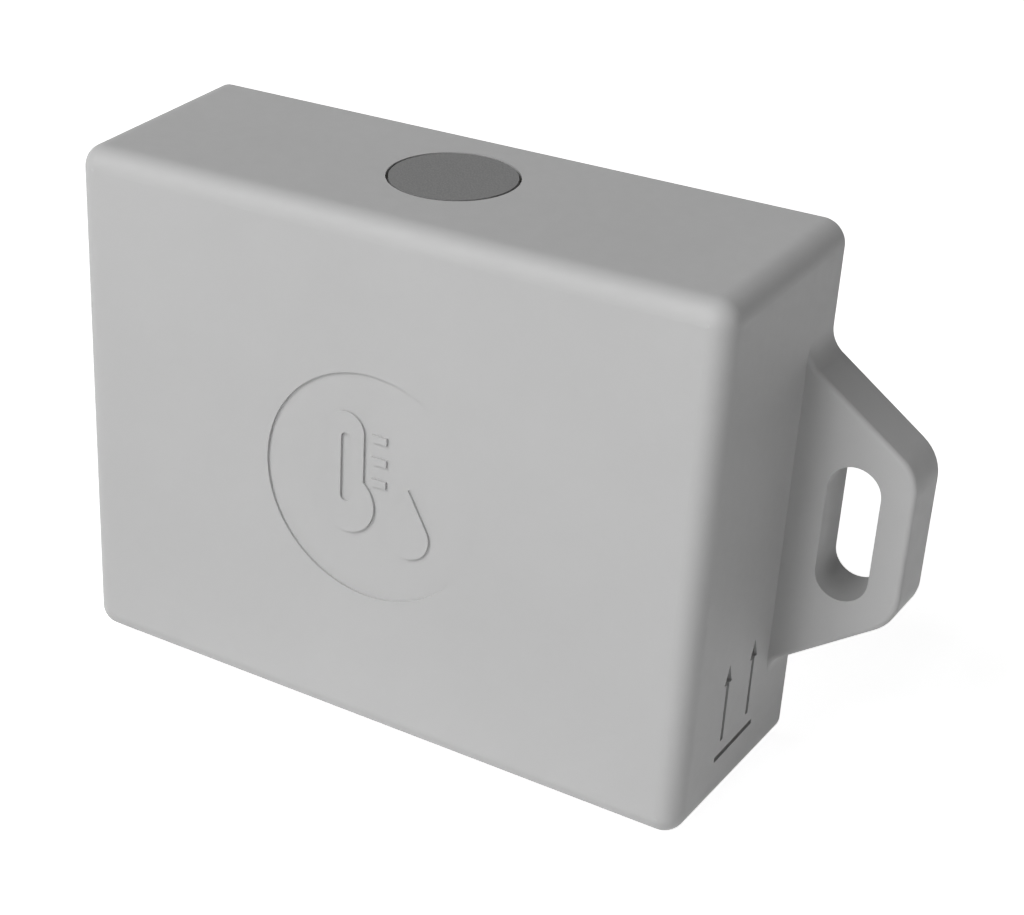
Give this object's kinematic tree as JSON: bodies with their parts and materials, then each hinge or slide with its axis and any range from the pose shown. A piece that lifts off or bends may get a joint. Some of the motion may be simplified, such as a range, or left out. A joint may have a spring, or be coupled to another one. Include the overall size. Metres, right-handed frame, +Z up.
{
  "type": "temperature and humidity sensor",
  "caption": "Shallow moulded wall sensor case with a slotted ear on each side, a round vent in its top wall and a sign recess on the front.",
  "frame": {"origin": "on the mounting plane at the back, midway between the two ear slots and at mid height", "axes": "+X to the right seen from the front, +Y towards the wall, +Z up"},
  "size_m": [0.0902, 0.0225, 0.0532],
  "materials": {
    "case_plastic": "fine matt moulded texture",
    "vent_disc": "porous matt",
    "adhesive_film": "matt",
    "seal_rubber": "matt",
    "boot_silicone": "soft matt",
    "steel": "satin",
    "brass": "knurled",
    "board_laminate": "solder mask",
    "module_laminate": "solder mask",
    "chip_body": "matt moulded",
    "socket_plastic": "matt",
    "holder_plastic": "matt moulded",
    "cell_sleeve": "printed sleeve, bare",
    "contact_sheet": "nickel plated",
    "shield_sheet": "tinned",
    "antenna_ceramic": "matt ceramic",
    "switch_body": "moulded",
    "capacitor_ceramic": "matt ceramic",
    "foam": "open cell foam"
  },
  "bodies": {
    "root": {"housing": "case_plastic", "rear_cover": "case_plastic", "cover_gasket": "seal_rubber", "cover_screws": "steel", "screw_seals": "seal_rubber", "cover_inserts": "brass", "vent_membrane": "vent_disc", "vent_adhesive": "adhesive_film", "sensor_boot": "boot_silicone", "sensor_board": "board_laminate", "humidity_sensor": "chip_body", "sensor_socket": "socket_plastic", "main_board": "board_laminate", "board_screws": "steel", "battery_holder": "holder_plastic", "upper_cell": "cell_sleeve", "lower_cell": "cell_sleeve", "positive_contact": "contact_sheet", "negative_contact": "contact_sheet", "bridge_contact": "contact_sheet", "foam_pad": "foam", "radio_module": "module_laminate", "radio_shield": "shield_sheet", "chip_antenna": "antenna_ceramic", "memory_chip": "chip_body", "voltage_regulator": "chip_body", "magnet_switch": "switch_body", "capacitors": "capacitor_ceramic", "resistors": "chip_body"}
  },
  "joints": []
}
